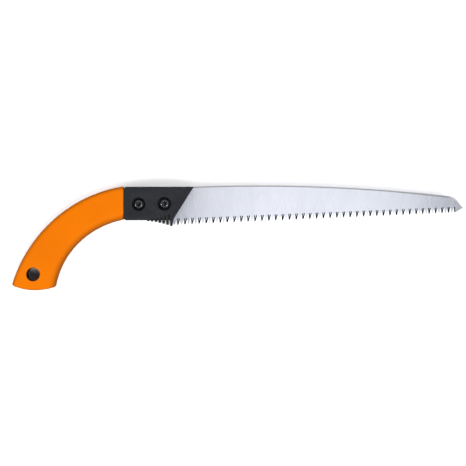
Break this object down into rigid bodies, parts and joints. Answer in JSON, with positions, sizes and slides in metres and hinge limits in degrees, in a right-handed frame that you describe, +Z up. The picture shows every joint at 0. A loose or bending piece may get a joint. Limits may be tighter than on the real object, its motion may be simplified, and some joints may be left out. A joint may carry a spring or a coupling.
{
  "type": "pruning saw",
  "caption": "Fixed straight pruning saw: long tapering pull-cut blade clamped in a ribbed front block by two cap screws, and a short curved pistol grip with a hanging hole.",
  "frame": {"origin": "under the centre of the bounding box, on the surface that the saw lies on", "axes": "+X along the blade to its tip, +Y towards the blade's spine, +Z up through the thickness (the saw's right side faces up)"},
  "size_m": [0.4681, 0.1088, 0.022],
  "materials": {
    "blade_steel": "satin ground steel, dark impulse-hardened facets on the teeth",
    "black_nylon": "fine matte moulded glass-filled nylon",
    "orange_grip": "smooth soft-touch elastomer",
    "black_oxide_steel": "black oxide, slightly oily",
    "zinc_steel": "bright zinc plate"
  },
  "bodies": {
    "saw": {"saw_blade": "blade_steel", "right_core_half": "black_nylon", "left_core_half": "black_nylon", "grip_sleeve": "orange_grip", "front_nut": "zinc_steel", "rear_nut": "zinc_steel", "core_screws": "zinc_steel"},
    "front_washer_body": {"front_washer": "black_oxide_steel"},
    "front_screw_body": {"front_blade_screw": "black_oxide_steel"},
    "rear_washer_body": {"rear_washer": "black_oxide_steel"},
    "rear_screw_body": {"rear_blade_screw": "black_oxide_steel"}
  },
  "joints": [
    {"name": "front_screw_turn", "type": "hinge", "parent": "saw", "child": "front_washer_body", "pos_m": [-0.0767, 0.0353, 0.0158], "axis": [0, 0, 1], "range_deg": [0, 2160]},
    {"name": "front_screw_lift", "type": "slide", "parent": "front_washer_body", "child": "front_screw_body", "axis": [0, 0, 1], "range_m": [0, 0.0048]},
    {"name": "rear_screw_turn", "type": "hinge", "parent": "saw", "child": "rear_washer_body", "pos_m": [-0.1033, 0.0348, 0.0158], "axis": [0, 0, 1], "range_deg": [0, 2160]},
    {"name": "rear_screw_lift", "type": "slide", "parent": "rear_washer_body", "child": "rear_screw_body", "axis": [0, 0, 1], "range_m": [0, 0.0048]}
  ],
  "couplings": [
    {"joint": "front_screw_turn", "follows": "front_screw_lift", "rad_per_m": 7854},
    {"joint": "rear_screw_turn", "follows": "rear_screw_lift", "rad_per_m": 7854}
  ]
}
